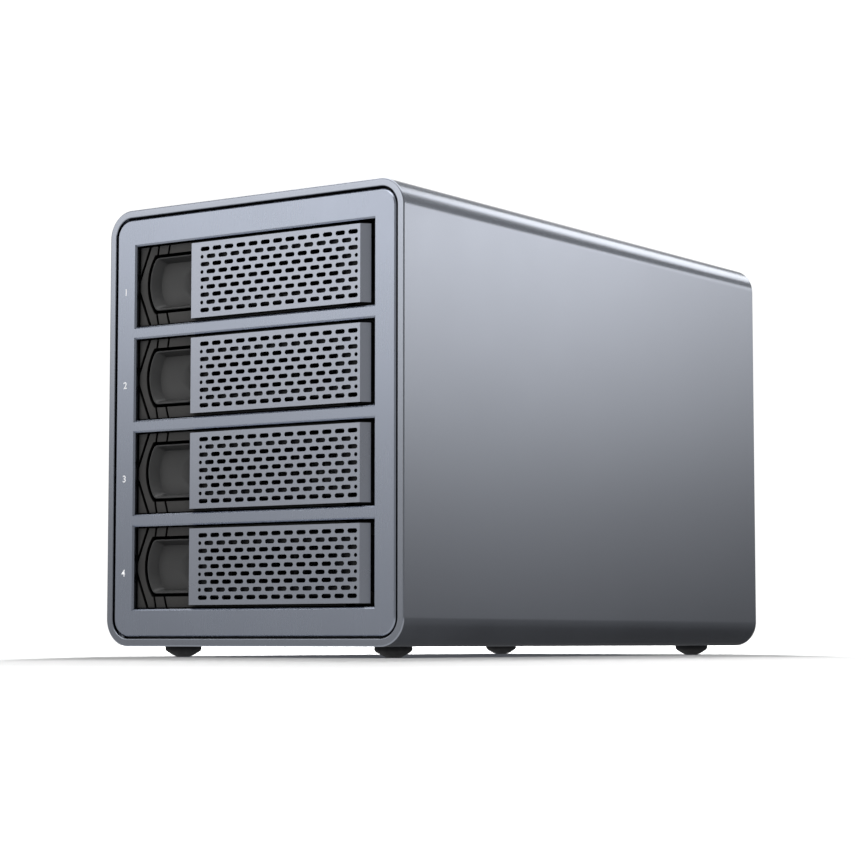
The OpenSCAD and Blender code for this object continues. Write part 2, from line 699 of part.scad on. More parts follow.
module tray_frame_1() { tray_frame(1); }
module tray_frame_2() { tray_frame(2); }
module tray_frame_3() { tray_frame(3); }
module tray_frame_4() { tray_frame(4); }
module tray_face_1() { tray_face(1); }
module tray_face_2() { tray_face(2); }
module tray_face_3() { tray_face(3); }
module tray_face_4() { tray_face(4); }
module door_skin_1() { door_skin(1); }
module door_skin_2() { door_skin(2); }
module door_skin_3() { door_skin(3); }
module door_skin_4() { door_skin(4); }
module lever_arm_1() { lever_arm(1); }
module lever_arm_2() { lever_arm(2); }
module lever_arm_3() { lever_arm(3); }
module lever_arm_4() { lever_arm(4); }
module hinge_pin_1() { hinge_pin(1); }
module hinge_pin_2() { hinge_pin(2); }
module hinge_pin_3() { hinge_pin(3); }
module hinge_pin_4() { hinge_pin(4); }
module release_button_1() { release_button(1); }
module release_button_2() { release_button(2); }
module release_button_3() { release_button(3); }
module release_button_4() { release_button(4); }
module button_spring_1() { button_spring(1); }
module button_spring_2() { button_spring(2); }
module button_spring_3() { button_spring(3); }
module button_spring_4() { button_spring(4); }

outer_shell();
front_panel();
bezel_frame();
led_board();
light_pipes();
cage_left();
cage_right();
cage_top();
cage_bottom();
cage_screws();
rails_left();
rails_right();
backplane_board();
sata_sockets();
power_connector();
controller_board();
heat_sink();
board_standoffs();
lan_sockets();
usb_sockets();
psu_case();
ac_inlet();
inlet_pins();
switch_housing();
power_rocker();
rear_panel();
panel_screws();
fan_frame();
fan_rotor();
fan_guard();
fan_screws();
rubber_feet();
tray_frame_1();
tray_frame_2();
tray_frame_3();
tray_frame_4();
tray_face_1();
tray_face_2();
tray_face_3();
tray_face_4();
door_skin_1();
door_skin_2();
door_skin_3();
door_skin_4();
lever_arm_1();
lever_arm_2();
lever_arm_3();
lever_arm_4();
hinge_pin_1();
hinge_pin_2();
hinge_pin_3();
hinge_pin_4();
release_button_1();
release_button_2();
release_button_3();
release_button_4();
button_spring_1();
button_spring_2();
button_spring_3();
button_spring_4();
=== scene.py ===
import json
import math

import bmesh
import bpy
from mathutils import Matrix, Vector


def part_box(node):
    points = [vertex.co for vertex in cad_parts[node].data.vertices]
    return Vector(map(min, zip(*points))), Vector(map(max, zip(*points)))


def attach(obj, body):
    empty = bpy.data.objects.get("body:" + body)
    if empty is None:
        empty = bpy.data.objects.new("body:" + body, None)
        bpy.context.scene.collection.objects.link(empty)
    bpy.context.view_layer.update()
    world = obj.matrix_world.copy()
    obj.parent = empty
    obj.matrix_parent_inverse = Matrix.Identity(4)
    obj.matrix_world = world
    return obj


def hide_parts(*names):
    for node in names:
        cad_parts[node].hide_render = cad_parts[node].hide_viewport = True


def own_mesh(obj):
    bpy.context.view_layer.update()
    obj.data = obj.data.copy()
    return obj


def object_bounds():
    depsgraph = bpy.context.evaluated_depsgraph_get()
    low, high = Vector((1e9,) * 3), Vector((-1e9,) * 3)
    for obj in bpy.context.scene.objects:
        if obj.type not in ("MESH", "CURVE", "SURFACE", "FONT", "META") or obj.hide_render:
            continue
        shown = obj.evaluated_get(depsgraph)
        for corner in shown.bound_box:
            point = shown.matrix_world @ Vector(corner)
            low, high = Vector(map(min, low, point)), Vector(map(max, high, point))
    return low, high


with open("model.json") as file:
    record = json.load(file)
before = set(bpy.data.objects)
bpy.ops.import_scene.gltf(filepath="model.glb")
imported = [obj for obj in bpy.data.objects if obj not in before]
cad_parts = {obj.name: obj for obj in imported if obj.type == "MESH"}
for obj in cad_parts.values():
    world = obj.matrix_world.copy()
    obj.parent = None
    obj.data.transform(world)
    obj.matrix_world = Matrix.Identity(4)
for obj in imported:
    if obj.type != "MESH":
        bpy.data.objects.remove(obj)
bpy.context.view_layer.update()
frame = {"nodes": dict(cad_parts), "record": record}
nodes = frame["nodes"]
scene = bpy.context.scene
MM = 0.001

# ---------------------------------------------------------------- camera
cam_data = bpy.data.cameras.new("camera")
cam_data.lens = 101.34
cam_data.sensor_width = 36.0
cam_data.clip_start = 0.01
cam_data.clip_end = 60.0
cam = bpy.data.objects.new("camera", cam_data)
scene.collection.objects.link(cam)
cam.location = (0.53805, -0.79707, 0.006117)
cam.rotation_euler = (math.radians(90 + 4.870), 0.0, math.radians(34.539))
scene.camera = cam
scene.view_settings.view_transform = "Standard"
scene.view_settings.look = "None"

# ---------------------------------------------------------------- sizes from the frame
box_lo, box_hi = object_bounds()
YF, YR = box_lo.y / MM, box_hi.y / MM          # front and rear planes, mm
HALF_W = box_hi.x / MM
Z1 = box_hi.z / MM
Z0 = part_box("outer_shell")[0].z / MM
WALL = 2.75
R_OUT = 10.0
BAYS = (1, 2, 3, 4)
BAY_Z = {i: (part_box(f"door_skin_{i}")[0].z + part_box(f"door_skin_{i}")[1].z) / 2 / MM for i in BAYS}


# ---------------------------------------------------------------- node helpers
class Tree:
    """Short names for building a node tree."""

    def __init__(self, tree):
        self.t = tree
        self.t.nodes.clear()

    def add(self, kind, **inputs):
        n = self.t.nodes.new(kind)
        for k, v in inputs.items():
            if k.startswith("p_"):
                setattr(n, k[2:], v)
        for k, v in inputs.items():
            if not k.startswith("p_"):
                key = int(k[1:]) if k[0] == "i" and k[1:].isdigit() else k.replace("_", " ")
                if isinstance(v, bpy.types.NodeSocket):
                    self.t.links.new(v, n.inputs[key])
                else:
                    n.inputs[key].default_value = v
        return n

    def link(self, a, b):
        self.t.links.new(a, b)


def noise(t, vec, scale, detail=2.0, rough=0.5, kind="ShaderNodeTexNoise"):
    n = t.add(kind, Vector=vec, Scale=scale, Detail=detail, Roughness=rough)
    return n.outputs["Fac"] if "Fac" in n.outputs else n.outputs[0]


def ranged(t, value, lo, hi, a=0.3, b=0.7):
    n = t.add("ShaderNodeMapRange", Value=value)
    n.inputs["From Min"].default_value = a
    n.inputs["From Max"].default_value = b
    n.inputs["To Min"].default_value = lo
    n.inputs["To Max"].default_value = hi
    return n.outputs["Result"]


def mix_col(t, fac, a, b):
    n = t.t.nodes.new("ShaderNodeMix")
    n.data_type = "RGBA"
    for sock, v in ((n.inputs[0], fac), (n.inputs[6], a), (n.inputs[7], b)):
        if isinstance(v, bpy.types.NodeSocket):
            t.link(v, sock)
        else:
            sock.default_value = v
    return n.outputs[2]


def scaled(t, vec, s):
    return t.add("ShaderNodeMapping", Vector=vec, Scale=s).outputs[0]


def rgba(c, k=1.0):
    return (c[0] * k, c[1] * k, c[2] * k, 1.0)


def surface(name, base, metallic=0.0, rough=0.5, spec=0.5, patch=0.05, patch_scale=25.0,
            rough_patch=0.04, grain=None, streak=None, flakes=None, coat=0.0, coat_rough=0.1,
            wear=0.0, dust=0.0, sheen=0.0, painted_crevice_shade=None, flat_axis=None,
            glow=0.0, lay_depth=1.0):
    """A procedural finish. grain is (features per metre, bump height in m), streak is
    (across, along, bump height, axis) for a brushed lay, flakes is (per metre, strength)."""
    m = bpy.data.materials.new(name)
    m.use_nodes = True
    t = Tree(m.node_tree)
    out = t.add("ShaderNodeOutputMaterial")
    b = t.add("ShaderNodeBsdfPrincipled")
    t.link(b.outputs[0], out.inputs["Surface"])
    obj = t.add("ShaderNodeTexCoord").outputs["Object"]
    b.inputs["Metallic"].default_value = metallic
    b.inputs["Specular IOR Level"].default_value = spec
    b.inputs["Coat Weight"].default_value = coat
    # painted light: emission in the finish's own colour, on a part that is no lamp
    if glow:
        b.inputs["Emission Color"].default_value = rgba(base)
        b.inputs["Emission Strength"].default_value = glow
    b.inputs["Coat Roughness"].default_value = coat_rough
    if sheen:
        b.inputs["Sheen Weight"].default_value = sheen
        b.inputs["Sheen Roughness"].default_value = 0.5

    cloud = noise(t, obj, patch_scale, 4.0, 0.55)
    col = mix_col(t, ranged(t, cloud, 0, 1), rgba(base, 1 - patch), rgba(base, 1 + patch))
    r = ranged(t, noise(t, obj, patch_scale * 2.7, 3.0, 0.6), rough - rough_patch, rough + rough_patch)

    height = None
    if streak:
        across, along, tall, axis = streak
        s = [across, across, across]
        s[axis] = along
        vec = scaled(t, obj, tuple(s))
        fine = noise(t, vec, 1.0, 3.0, 0.65)
        broad = noise(t, scaled(t, obj, tuple(x * (0.16 if k != axis else 0.5) for k, x in enumerate(s))), 1.0, 2.0, 0.5)
        lay = t.add("ShaderNodeMath", p_operation="ADD", i0=fine,
                    i1=t.add("ShaderNodeMath", p_operation="MULTIPLY", i0=broad, i1=0.6).outputs[0]).outputs[0]
        col = mix_col(t, ranged(t, lay, 0, 1, 0.55, 1.05), rgba_mul(t, col, 1 - 0.015 * lay_depth),
                      rgba_mul(t, col, 1 + 0.015 * lay_depth))
        r = t.add("ShaderNodeMath", p_operation="ADD", i0=r, i1=ranged(t, lay, -0.03 * lay_depth, 0.03 * lay_depth, 0.5, 1.1)).outputs[0]
        height = t.add("ShaderNodeBump", Strength=1.0, Distance=tall, Height=lay)
        if flat_axis is not None:
            # the lay is only on the broad faces, not on the edge breaks
            nrm = t.add("ShaderNodeSeparateXYZ", i0=t.add("ShaderNodeNewGeometry").outputs["True Normal"]).outputs[flat_axis]
            on = ranged(t, t.add("ShaderNodeMath", p_operation="ABSOLUTE", i0=nrm).outputs[0], 0.0, 1.0, 0.9, 0.98)
            t.link(on, height.inputs["Strength"])
    if grain:
        per, tall = grain
        g = noise(t, obj, per, 2.0, 0.6)
        n = t.add("ShaderNodeBump", Strength=1.0, Distance=tall, Height=g)
        if height is not None:
            t.link(height.outputs[0], n.inputs["Normal"])
        height = n
        if flakes:
            sp = noise(t, obj, flakes[0], 1.0, 0.5)
            col = mix_col(t, ranged(t, sp, 0, flakes[1], 0.45, 0.75), col, rgba_mul(t, col, 1.6))
    if wear:
        geo = t.add("ShaderNodeNewGeometry")
        edge = ranged(t, geo.outputs["Pointiness"], 0, wear, 0.53, 0.62)
        broken = t.add("ShaderNodeMath", p_operation="MULTIPLY", i0=edge,
                       i1=ranged(t, noise(t, obj, 260.0, 3.0, 0.6), 0.2, 1.0, 0.35, 0.65)).outputs[0]
        col = mix_col(t, broken, col, rgba_mul(t, col, 1.5))
    if dust:
        d = ranged(t, noise(t, obj, 900.0, 2.0, 0.7), 0, dust, 0.56, 0.74)
        col = mix_col(t, d, col, (0.45, 0.44, 0.42, 1))
        r = t.add("ShaderNodeMath", p_operation="ADD", i0=r, i1=d).outputs[0]
    if painted_crevice_shade:
        # painted shade: where ambient occlusion finds near walls, in grooves, gaps and deep corners, the finish is
        # mixed toward a near-black diffuse
        ao = t.add("ShaderNodeAmbientOcclusion", p_samples=6, Distance=painted_crevice_shade[0])
        deep = ranged(t, ao.outputs["AO"], painted_crevice_shade[1], 1.0, 0.25, 0.95)
        shade = t.add("ShaderNodeBsdfDiffuse", Color=rgba_mul(t, col, 0.03))
        both = t.add("ShaderNodeMixShader", i0=deep, i1=shade.outputs[0], i2=b.outputs[0])
        t.link(both.outputs[0], out.inputs["Surface"])
    t.link(col, b.inputs["Base Color"])
    t.link(r, b.inputs["Roughness"])
    if height is not None:
        t.link(height.outputs[0], b.inputs["Normal"])
    return m


def rgba_mul(t, col, k):
    n = t.t.nodes.new("ShaderNodeVectorMath")
    n.operation = "SCALE"
    t.link(col, n.inputs[0])
    n.inputs["Scale"].default_value = k
    return n.outputs[0]


# painted_crevice_shade darkens the hollows, gaps and deep corners of these finishes: painted shade
SHELL = surface("shell_anodised", (0.387, 0.411, 0.466), 1.0, 0.23, patch=0.015, patch_scale=9,
                rough_patch=0.012, grain=(3200.0, 0.0000045), flakes=(3200.0, 0.10), wear=0.25,
                painted_crevice_shade=(0.0009, 0.25))
PANEL = surface("panel_anodised", (0.405, 0.438, 0.515), 1.0, 0.27, patch=0.015, patch_scale=12,
                rough_patch=0.012, streak=(2800.0, 70.0, 0.00000006, 2), flat_axis=1, lay_depth=0.25,
                painted_crevice_shade=(0.0007, 0.45))
DOOR = surface("door_anodised", (0.425, 0.45, 0.515), 1.0, 0.28, patch=0.015, patch_scale=14,
               rough_patch=0.015, grain=(3600.0, 0.000004), flakes=(3600.0, 0.12),
               painted_crevice_shade=(0.0012, 0.3))
FACE = surface("face_plastic", (0.078, 0.075, 0.072), 0.0, 0.40, patch=0.08, patch_scale=30,
               grain=(4200.0, 0.000006), wear=0.25, dust=0.015, painted_crevice_shade=(0.005, 0.0))
BUTTON = surface("button_plastic", (0.112, 0.112, 0.112), 0.0, 0.40, patch=0.05, patch_scale=40,
                 grain=(5200.0, 0.000004), wear=0.3, painted_crevice_shade=(0.005, 0.0))
INNER = surface("inner_plastic", (0.013, 0.013, 0.014), 0.0, 0.50, spec=0.3, patch=0.10, patch_scale=30,
                grain=(3800.0, 0.000012), wear=0.2, dust=0.02)
RUBBER = surface("foot_rubber", (0.010, 0.010, 0.011), 0.0, 0.72, spec=0.35, patch=0.2, patch_scale=180,
                 rough_patch=0.08, grain=(2600.0, 0.000035), dust=0.03)
ZINC = surface("sheet_steel", (0.58, 0.60, 0.63), 1.0, 0.34, patch=0.07, patch_scale=60,
               rough_patch=0.06, streak=(1500.0, 60.0, 0.000002, 1))
NICKEL = surface("screw_steel", (0.52, 0.53, 0.55), 1.0, 0.26, patch=0.05, patch_scale=300,
                 rough_patch=0.06, grain=(2500.0, 0.000003), wear=0.3)
DARK = surface("dark_steel", (0.045, 0.047, 0.052), 0.0, 0.46, patch=0.08, patch_scale=40,
               rough_patch=0.06, grain=(2100.0, 0.000025), wear=0.3, dust=0.015)
WIRE = surface("guard_wire", (0.62, 0.63, 0.65), 1.0, 0.18, patch=0.04, patch_scale=200,
               rough_patch=0.05, grain=(900.0, 0.000004))
BOARD = surface("circuit_board", (0.015, 0.11, 0.055), 0.0, 0.32, patch=0.22, patch_scale=420,
                rough_patch=0.05, grain=(700.0, 0.00001), coat=0.3, coat_rough=0.25)
SINK = surface("heat_sink_alu", (0.58, 0.59, 0.61), 1.0, 0.3, patch=0.04, patch_scale=80,
               rough_patch=0.05, streak=(2200.0, 40.0, 0.000003, 1))
BRASS = surface("standoff_brass", (0.72, 0.52, 0.22), 1.0, 0.28, patch=0.06, patch_scale=300,
                rough_patch=0.05, streak=(300.0, 3000.0, 0.000002, 2))
LAMP = surface("lamp_window", (0.86, 0.88, 0.92), 0.0, 0.3, patch=0.02, patch_scale=600,
               grain=(3000.0, 0.000004), coat=0.3)
FAN = surface("fan_plastic", (0.020, 0.020, 0.022), 0.0, 0.36, patch=0.10, patch_scale=40,
              grain=(3300.0, 0.000008), wear=0.2, dust=0.04)
# the white digits are print, no lamp: their emission is a painted glow
DIGIT = surface("digit_white", (0.93, 0.94, 0.96), 0.0, 0.45, patch=0.05, patch_scale=2500,
                grain=(4000.0, 0.000003), glow=0.55)
MATS = {
    "shell_anodised": SHELL, "panel_anodised": PANEL, "door_anodised": DOOR, "face_plastic": FACE,
    "button_plastic": BUTTON, "inner_plastic": INNER, "foot_rubber": RUBBER, "sheet_steel": ZINC,
    "screw_steel": NICKEL, "dark_steel": DARK, "guard_wire": WIRE, "circuit_board": BOARD,
    "heat_sink_alu": SINK, "standoff_brass": BRASS, "lamp_window": LAMP, "fan_plastic": FAN,
}

# ---------------------------------------------------------------- CAD nodes: finishes and edge breaks
slot_of = {s["node"]: s["material_slot"] for s in frame["record"]["subparts"]}
for name, o in nodes.items():
    m = MATS[slot_of[name]]
    if not o.material_slots:
        o.data.materials.append(m)
    for s in o.material_slots:
        s.material = m


def edge_break(name, width, segments=2, angle=32.0):
    """Welds the mesh for display, breaks its sharp edges and evens the shading."""
    o = nodes[name]
    w = o.modifiers.new("weld", "WELD")
    w.merge_threshold = 0.000002
    d = o.modifiers.new("flat", "DECIMATE")
    d.decimate_type = "DISSOLVE"
    d.angle_limit = math.radians(0.4)
    d.delimit = set()
    if width:
        b = o.modifiers.new("edge", "BEVEL")
        b.width = width * MM
        b.segments = segments
        b.limit_method = "ANGLE"
        b.angle_limit = math.radians(angle)
        b.use_clamp_overlap = True
        b.miter_outer = "MITER_ARC" if segments > 2 else "MITER_SHARP"
    n = o.modifiers.new("shade", "WEIGHTED_NORMAL")
    n.mode = "FACE_AREA"
    n.keep_sharp = False
    n.weight = 50


BREAKS = {
    "bezel_frame": (0.15, 2), "rear_panel": (0.2, 2),
    "fan_frame": (0.35, 2), "ac_inlet": (0.3, 2), "switch_housing": (0.25, 2), "power_rocker": (0.3, 3),
    "lan_sockets": (0.15, 2), "usb_sockets": (0.12, 2), "psu_case": (0.2, 2), "heat_sink": (0.1, 1),
    "cage_left": (0.15, 1), "cage_right": (0.15, 1), "cage_top": (0.15, 1), "cage_bottom": (0.15, 1),
    "rails_left": (0.3, 2), "rails_right": (0.3, 2), "sata_sockets": (0.12, 1), "power_connector": (0.3, 2),
    "controller_board": (0.08, 1), "backplane_board": (0.08, 1), "led_board": (0.05, 1),
    "board_standoffs": (0.15, 1), "light_pipes": (0.1, 1), "inlet_pins": (0.2, 2),
    "panel_screws": (0.15, 2), "fan_screws": (0.12, 2), "cage_screws": (0.2, 2),
}
for i in BAYS:
    BREAKS[f"tray_face_{i}"] = (0.18, 2)
    BREAKS[f"tray_frame_{i}"] = (0.2, 2)
    BREAKS[f"lever_arm_{i}"] = (0.25, 2)
    BREAKS[f"hinge_pin_{i}"] = (0.15, 2)
for name, (w, s) in BREAKS.items():
    edge_break(name, w, s)


# ---------------------------------------------------------------- mesh helpers
def make(name, verts, faces, body, mat, replaces=(), shade=True, scale=MM):
    me = bpy.data.meshes.new(name)
    me.from_pydata([tuple(c * scale for c in v) for v in verts], [], faces)
    bm = bmesh.new()
    bm.from_mesh(me)
    bmesh.ops.recalc_face_normals(bm, faces=bm.faces)
    for f in bm.faces:
        f.smooth = shade
    bm.to_mesh(me)
    bm.free()
    me.materials.append(mat)
    o = bpy.data.objects.new(name, me)
    scene.collection.objects.link(o)
    n = o.modifiers.new("shade", "WEIGHTED_NORMAL")
    n.mode = "FACE_AREA"
    n.keep_sharp = False
    n.weight = 50
    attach(o, body)
    if replaces:
        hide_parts(*replaces)
    return o


def round_rect(w, h, r, cx=0.0, cz=0.0, n=20):
    pts = []
    for qx, qz, a0 in ((1, 1, 0), (-1, 1, 90), (-1, -1, 180), (1, -1, 270)):
        for k in range(n + 1):
            a = math.radians(a0 + 90 * k / n)
            pts.append((cx + qx * (w / 2 - r) + r * math.cos(a), cz + qz * (h / 2 - r) + r * math.sin(a)))
    return pts


class Builder:
    """Gathers rings of points into one mesh."""

    def __init__(self):
        self.v, self.f = [], []

    def ring(self, pts):
        s = len(self.v)
        self.v += pts
        return list(range(s, s + len(pts)))

    def bridge(self, a, b, closed=True):
        n = len(a)
        for k in range(n if closed else n - 1):
            self.f.append((a[k], a[(k + 1) % n], b[(k + 1) % n], b[k]))

    def fan(self, ring, centre):
        c = self.ring([centre])[0]
        n = len(ring)
        for k in range(n):
            self.f.append((ring[k], ring[(k + 1) % n], c))

    def cap(self, ring):
        self.f.append(tuple(ring))


def tube(b, path, r, sides=10, closed=False):
    """A round wire along a path of points."""
    n = len(path)
    P = [Vector(p) for p in path]
    rings, ref = [], None
    for k in range(n):
        if closed:
            d = (P[(k + 1) % n] - P[k - 1]).normalized()
        else:
            d = (P[min(k + 1, n - 1)] - P[max(k - 1, 0)]).normalized()
        if ref is None:
            ref = d.orthogonal().normalized()
        ref = (ref - ref.dot(d) * d).normalized()
        side = d.cross(ref)
        rings.append(b.ring([tuple(P[k] + r * (math.cos(a) * ref + math.sin(a) * side))
                             for a in (2 * math.pi * j / sides for j in range(sides))]))
    for k in range(n - 1):
        b.bridge(rings[k], rings[k + 1])
    if closed:
        # the frame turns round the loop, so the last ring meets the first at the nearest corner
        first = [Vector(b.v[i]) for i in rings[0]]
        last = Vector(b.v[rings[-1][0]])
        s = min(range(sides), key=lambda j: (first[j] - last).length)
        b.bridge(rings[-1], rings[0][s:] + rings[0][:s])
    else:
        b.fan(rings[0], tuple(P[0]))
        b.fan(rings[-1], tuple(P[-1]))


def lathe(b, profile, centre, axis="z", sides=48):
    """Turns (radius, height) points about an axis through centre."""
    rings = []
    for r, h in profile:
        pts = []
        for k in range(sides):
            a = 2 * math.pi * k / sides
            p = {"z": (r * math.cos(a), r * math.sin(a), h), "y": (r * math.cos(a), h, r * math.sin(a))}[axis]
            pts.append(tuple(c + q for c, q in zip(centre, p)))
        if r < 1e-9:
            pts = pts[:1]
        rings.append(b.ring(pts))
    for p, q in zip(rings, rings[1:]):
        if len(p) == 1 and len(q) > 1:
            for k in range(sides):
                b.f.append((p[0], q[(k + 1) % sides], q[k]))
        elif len(q) == 1 and len(p) > 1:
            for k in range(sides):
                b.f.append((p[k], p[(k + 1) % sides], q[0]))
        elif len(p) > 1:
            b.bridge(p, q)
    if len(rings[0]) > 1 and len(rings[-1]) > 1 and profile[0][1] == profile[-1][1]:
        b.bridge(rings[-1], rings[0])


def smooth_profile(pts, per=5):
    """A smooth curve through profile points."""
    out = []
    for k in range(len(pts) - 1):
        p0, p1, p2, p3 = pts[max(k - 1, 0)], pts[k], pts[k + 1], pts[min(k + 2, len(pts) - 1)]
        for j in range(per):
            t = j / per
            out.append(tuple(
                0.5 * (2 * p1[c] + (p2[c] - p0[c]) * t + (2 * p0[c] - 5 * p1[c] + 4 * p2[c] - p3[c]) * t * t
                       + (3 * p1[c] - p0[c] - 3 * p2[c] + p3[c]) * t ** 3) for c in range(2)))
    out.append(pts[-1])
    return out


# ---------------------------------------------------------------- the sleeve
def sleeve():
    b = Builder()
    w, h, cz = 2 * HALF_W, Z1 - Z0, (Z0 + Z1) / 2
    fo, fi = 0.45, 0.3        # edge rounding outside and inside
    steps = 4

    def outer(inset, y):
        return b.ring([(x, y, z) for x, z in round_rect(w - 2 * inset, h - 2 * inset, R_OUT - inset, 0, cz, 28)])

    def inner(grow, y):
        return b.ring([(x, y, z) for x, z in round_rect(w - 2 * WALL + 2 * grow, h - 2 * WALL + 2 * grow,
                                                        R_OUT - WALL + grow, 0, cz, 28)])
    rings = []
    for k in range(steps + 1):          # front outer rounding
        a = math.pi / 2 * k / steps
        rings.append(outer(fo * (1 - math.sin(a)), YF + fo * (1 - math.cos(a))))
    for y in (-80, -30, 30, 80):
        rings.append(outer(0, y))
    for k in range(steps + 1):          # rear outer rounding
        a = math.pi / 2 * (1 - k / steps)
        rings.append(outer(fo * (1 - math.sin(a)), YR - fo * (1 - math.cos(a))))
    for k in range(steps + 1):          # rear inner rounding
        a = math.pi / 2 * k / steps
        rings.append(inner(fi * (1 - math.sin(a)), YR - fi * (1 - math.cos(a))))
    for y in (80, 30, -30, -80):
        rings.append(inner(0, y))
    for k in range(steps + 1):          # front inner rounding
        a = math.pi / 2 * (1 - k / steps)
        rings.append(inner(fi * (1 - math.sin(a)), YF + fi * (1 - math.cos(a))))
    for p, q in zip(rings, rings[1:]):
        b.bridge(p, q)
    b.bridge(rings[-1], rings[0])
    # screw bosses in the corners, from the bezel frame to the rear panel
    y0, y1 = YF + 7.0, YR - 4.0
    for sx in (-1, 1):
        for z in (Z0 + 6.6, Z1 - 6.6):
            lathe(b, [(1.25, y0), (3.0, y0), (3.2, y0 + 0.2), (3.2, y1 - 0.2), (3.0, y1), (1.25, y1),
                      (1.25, y1 - 8), (0, y1 - 8.6)], (sx * (HALF_W - 6.6), 0, z), "y", 24)
            # close the front end of the hole
            n = len(b.v)
            first = n - (24 * 7 + 1)
            ring0 = list(range(first, first + 24))
            back = b.ring([(b.v[k][0], y0 + 8, b.v[k][2]) for k in ring0])
            b.bridge(back, ring0)
            b.fan(back, (sx * (HALF_W - 6.6), y0 + 8.6, z))
    return make("case_sleeve", b.v, b.f, "chassis", SHELL, ("outer_shell",))


sleeve()


# ---------------------------------------------------------------- the front panel
def panel():
    """The front panel: a chamfer round the outside and round each window."""
    lo, hi = (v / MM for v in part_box("front_panel"))
    w, h, cz = hi.x - lo.x, hi.z - lo.z, (lo.z + hi.z) / 2
    y0, y1 = lo.y, hi.y
    r = R_OUT - WALL - 0.85
    c, wc = 0.5, 0.6
    hw, hh = 107.8 / 2, 29.93 / 2

    def outside(inset, y):
        return [(x, y, z) for x, z in round_rect(w - 2 * inset, h - 2 * inset, r - inset, 0, cz, 20)]

    def window(i, grow, y):
        a, b_ = hw + grow, hh + grow
        z = BAY_Z[i]
        return [(a, y, z + b_), (-a, y, z + b_), (-a, y, z - b_), (a, y, z - b_)]

    loops = [[outside(c, y0), outside(0, y0 + c), outside(0, y1)]]
    for i in BAYS:
        loops.append([window(i, wc, y0), window(i, 0, y0 + wc), window(i, 0, y1)])
    bm = bmesh.new()
    front, back = [], []
    for rings in loops:
        rows = [[bm.verts.new(tuple(q * MM for q in p)) for p in ring] for ring in rings]
        n = len(rows[0])
        for p, q in zip(rows, rows[1:]):
            for k in range(n):
                bm.faces.new((p[k], p[(k + 1) % n], q[(k + 1) % n], q[k]))
        front += [bm.edges.get((rows[0][k], rows[0][(k + 1) % n])) for k in range(n)]
        back += [bm.edges.get((rows[-1][k], rows[-1][(k + 1) % n])) for k in range(n)]
    for side in (front, back):
        bmesh.ops.triangle_fill(bm, use_beauty=True, use_dissolve=False, edges=side)
    verts = [tuple(q / MM for q in v.co) for v in bm.verts]
    bm.verts.index_update()
    faces = [tuple(v.index for v in f.verts) for f in bm.faces]
    bm.free()
    o = make("panel_plate", verts, faces, "chassis", PANEL, ("front_panel",), shade=False)
    o.modifiers.clear()      # flat faces meet sharply
    return o


panel()


# ---------------------------------------------------------------- rubber feet
def feet():
    lo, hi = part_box("rubber_feet")
    fx = hi.x / MM - 6.65
    prof = smooth_profile([(0.9, 0.0), (1.8, 0.0), (2.6, 0.14), (3.9, 0.72), (5.2, 1.45), (6.1, 2.05),
                           (6.53, 2.5), (6.65, 2.95), (6.65, 3.5)], 4)
    prof = [(0.0, 0.0)] + prof + [(6.62, 3.72), (6.5, 3.8), (0.0, 3.8)]
    b = Builder()
    for sx in (-1, 1):
        for y in (lo.y / MM + 6.65, hi.y / MM - 6.65):
            lathe(b, prof, (sx * fx, y, 0), "z", 56)
    return make("foot_domes", b.v, b.f, "chassis", RUBBER, ("rubber_feet",))


feet()


# ---------------------------------------------------------------- button springs
def spring(i):
    lo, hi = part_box(f"button_spring_{i}")
    cx, cz = (lo.x + hi.x) / 2 / MM, (lo.z + hi.z) / 2 / MM
    y0, y1 = lo.y / MM + 0.3, hi.y / MM - 0.3
    turns, per = 4.0, 28
    n = int(turns * per)
    path = []
    for k in range(n + 1):
        t = k / n
        # closed end coils, open middle
        e = t + 0.10 * math.sin(2 * math.pi * t) / (2 * math.pi) * -1
        a = 2 * math.pi * turns * t
        path.append((cx + 2.6 * math.cos(a), y0 + (y1 - y0) * e, cz + 2.6 * math.sin(a)))
    b = Builder()
    tube(b, path, 0.28, 10)
    o = make(f"coil_spring_{i}", b.v, b.f, f"tray_{i}", NICKEL, (f"button_spring_{i}",))
    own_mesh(o)
    return o


for i in BAYS:
    spring(i)


